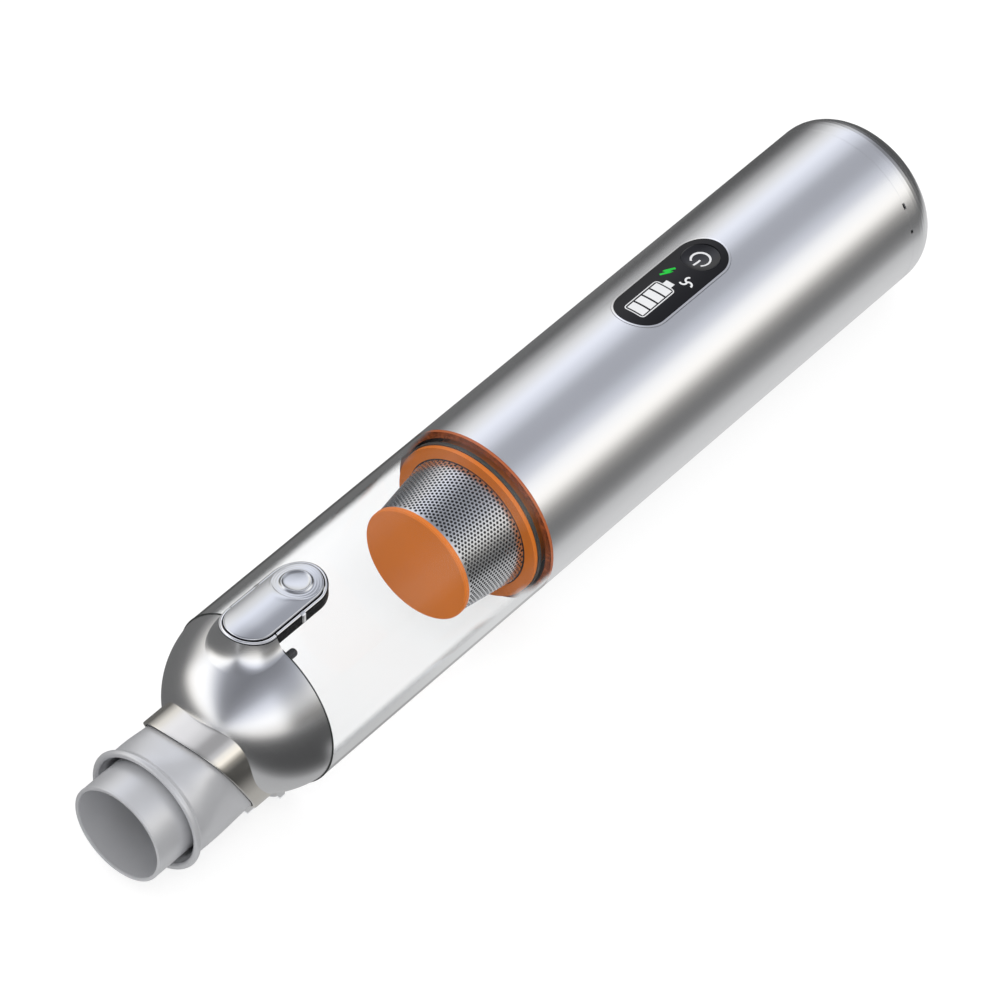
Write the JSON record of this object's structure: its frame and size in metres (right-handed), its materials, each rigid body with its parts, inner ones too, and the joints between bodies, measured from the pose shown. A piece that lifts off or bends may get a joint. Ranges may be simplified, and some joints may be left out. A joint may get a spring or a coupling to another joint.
{
  "type": "handheld vacuum cleaner",
  "caption": "Slim cordless handheld vacuum: clear dust cup with a cone filter, hinged front cap with a latch, flared inlet nozzle, and a round body with a power button.",
  "frame": {"origin": "on the resting plane, under the middle of the object's box", "axes": "+X along the round body towards its rear cap, nozzle towards -X, control panel and latch on the +Z side"},
  "size_m": [0.3356, 0.056, 0.0595],
  "materials": {
    "silver_shell": "satin metallic",
    "bright_trim": "polished",
    "black_gloss": "semi-gloss",
    "black_plastic": "moulded",
    "grey_plastic": "moulded, fine grain",
    "clear_cup": "clear, glossy",
    "orange_plastic": "moulded, semi-gloss",
    "orange_seal": "soft",
    "perforated_steel": "perforated",
    "steel": "turned",
    "dark_rubber": "matte",
    "filter_paper": "pleated, charcoal",
    "inner_plastic": "moulded",
    "circuit_board": "coated",
    "cell_sleeve": "shrunk sleeve",
    "foam": "open cell",
    "white_plastic": "translucent",
    "port_steel": "drawn"
  },
  "bodies": {
    "body": {"body_shell": "silver_shell", "rear_cap": "silver_shell", "panel_bezel": "bright_trim", "control_panel": "black_gloss", "control_board": "circuit_board", "button_switch": "black_plastic", "light_guide": "white_plastic", "screws": "steel", "cup_seal": "orange_seal", "bulkhead": "inner_plastic", "chassis": "inner_plastic", "fan_shroud": "inner_plastic", "diffuser": "inner_plastic", "motor": "steel", "motor_mount": "dark_rubber", "motor_driver": "circuit_board", "battery_holder_front": "white_plastic", "battery_cells": "cell_sleeve", "battery_holder_rear": "white_plastic", "exhaust_foam": "foam", "charge_board": "circuit_board", "charge_port": "port_steel"},
    "cup": {"dust_cup": "clear_cup", "latch_frame": "black_plastic", "latch_rim": "bright_trim", "latch_pin": "steel", "latch_spring": "steel", "hinge_pin": "steel"},
    "filter": {"filter_flange": "orange_plastic", "filter_gasket": "dark_rubber", "filter_mesh": "perforated_steel", "filter_core": "filter_paper", "filter_disc": "orange_plastic"},
    "cap": {"front_cap": "silver_shell", "cap_seal": "dark_rubber", "locating_peg": "black_plastic", "nozzle_skirt": "grey_plastic", "inlet_tube": "grey_plastic", "flap_pin": "steel"},
    "flap": {"inlet_flap": "dark_rubber"},
    "lever": {"latch_lever": "silver_shell"},
    "button": {"power_button": "black_gloss"},
    "fan": {"impeller": "inner_plastic", "motor_shaft": "steel"}
  },
  "joints": [
    {"name": "cup_slide", "type": "slide", "parent": "body", "child": "cup", "axis": [-1, 0, 0], "range_m": [0, 0.03]},
    {"name": "filter_slide", "type": "slide", "parent": "cup", "child": "filter", "axis": [-1, 0, 0], "range_m": [0, 0.025]},
    {"name": "cap_hinge", "type": "hinge", "parent": "cup", "child": "cap", "pos_m": [-0.1139, 0, 0.0028], "axis": [0, -1, 0], "range_deg": [0, 85]},
    {"name": "flap_swing", "type": "hinge", "parent": "cap", "child": "flap", "pos_m": [-0.1188, 0, 0.0343], "axis": [0, -1, 0], "range_deg": [0, 70]},
    {"name": "latch_rock", "type": "hinge", "parent": "cup", "child": "lever", "pos_m": [-0.09995, 0, 0.0566], "axis": [0, 1, 0], "range_deg": [0, 3.5], "stiffness_Nm_per_rad": 0.05},
    {"name": "button_press", "type": "slide", "parent": "body", "child": "button", "axis": [0, 0, -1], "range_m": [0, 0.0008], "stiffness_N_per_m": 800},
    {"name": "fan_spin", "type": "hinge", "parent": "body", "child": "fan", "pos_m": [0.0133, 0, 0.028], "axis": [1, 0, 0], "continuous": true}
  ]
}
